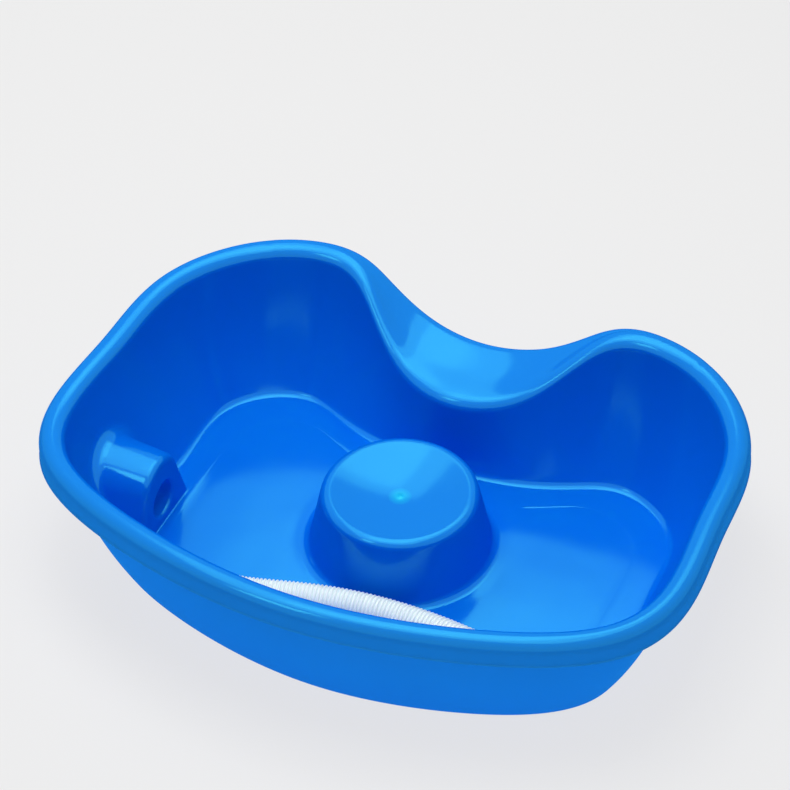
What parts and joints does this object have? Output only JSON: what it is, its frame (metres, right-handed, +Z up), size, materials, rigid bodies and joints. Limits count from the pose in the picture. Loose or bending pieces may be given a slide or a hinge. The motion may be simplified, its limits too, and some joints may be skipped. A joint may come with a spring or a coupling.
{
  "type": "portable shampoo basin",
  "caption": "Portable hair-wash tub: one-piece moulded shell with rolled rim, neck notch, round dished head rest and a drain boss, with a loose ribbed drain hose.",
  "frame": {"origin": "on the standing surface, under the middle of the tub's outline", "axes": "+X along the tub, away from the end with the drain; +Y towards the side with the neck notch; +Z up"},
  "size_m": [0.54, 0.4025, 0.1311],
  "materials": {
    "blue_plastic": "glossy moulded plastic, saturated blue",
    "white_hose": "white ribbed plastic, half gloss",
    "pale_fitting": "pale grey-white moulded plastic, satin"
  },
  "bodies": {
    "basin": {"basin": "blue_plastic"},
    "hose": {"drain_hose": "white_hose", "hose_plug": "pale_fitting", "hose_cuff": "pale_fitting"}
  },
  "joints": [
    {"name": "hose_lift", "type": "slide", "parent": "basin", "child": "hose", "axis": [0, 0, 1], "range_m": [0, 0.18]}
  ]
}
